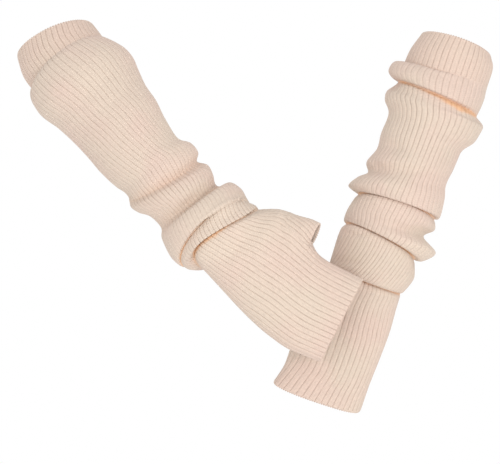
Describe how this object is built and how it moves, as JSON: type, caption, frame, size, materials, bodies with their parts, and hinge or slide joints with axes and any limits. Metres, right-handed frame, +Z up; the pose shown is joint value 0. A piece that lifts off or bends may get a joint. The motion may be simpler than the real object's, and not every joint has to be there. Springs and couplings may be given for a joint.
{
  "type": "pair of knitted arm warmers",
  "caption": "Ribbed knitted arm warmers in their worn shape: hollow sleeves pushed into soft folds, each with a top band, a short thumb tube and an open finger end.",
  "frame": {"origin": "middle of the upper opening of the right arm's warmer, where the arm holds it", "axes": "+Z up, +X to the viewer's right, and the viewer looks along +Y"},
  "size_m": [0.4299, 0.142, 0.3525],
  "materials": {
    "right_top_band": "matt rib knit, pale greyed pink",
    "right_sleeve": "matt rib knit, pale peach pink",
    "right_thumb": "matt rib knit, pale peach pink",
    "left_top_band": "matt rib knit, pale greyed pink",
    "left_sleeve": "matt rib knit, pale peach pink",
    "left_thumb": "matt rib knit, pale peach pink"
  },
  "bodies": {
    "root": {"right_top_band": "right_top_band", "right_sleeve": "right_sleeve", "right_thumb": "right_thumb", "left_top_band": "left_top_band", "left_sleeve": "left_sleeve", "left_thumb": "left_thumb"}
  },
  "joints": []
}
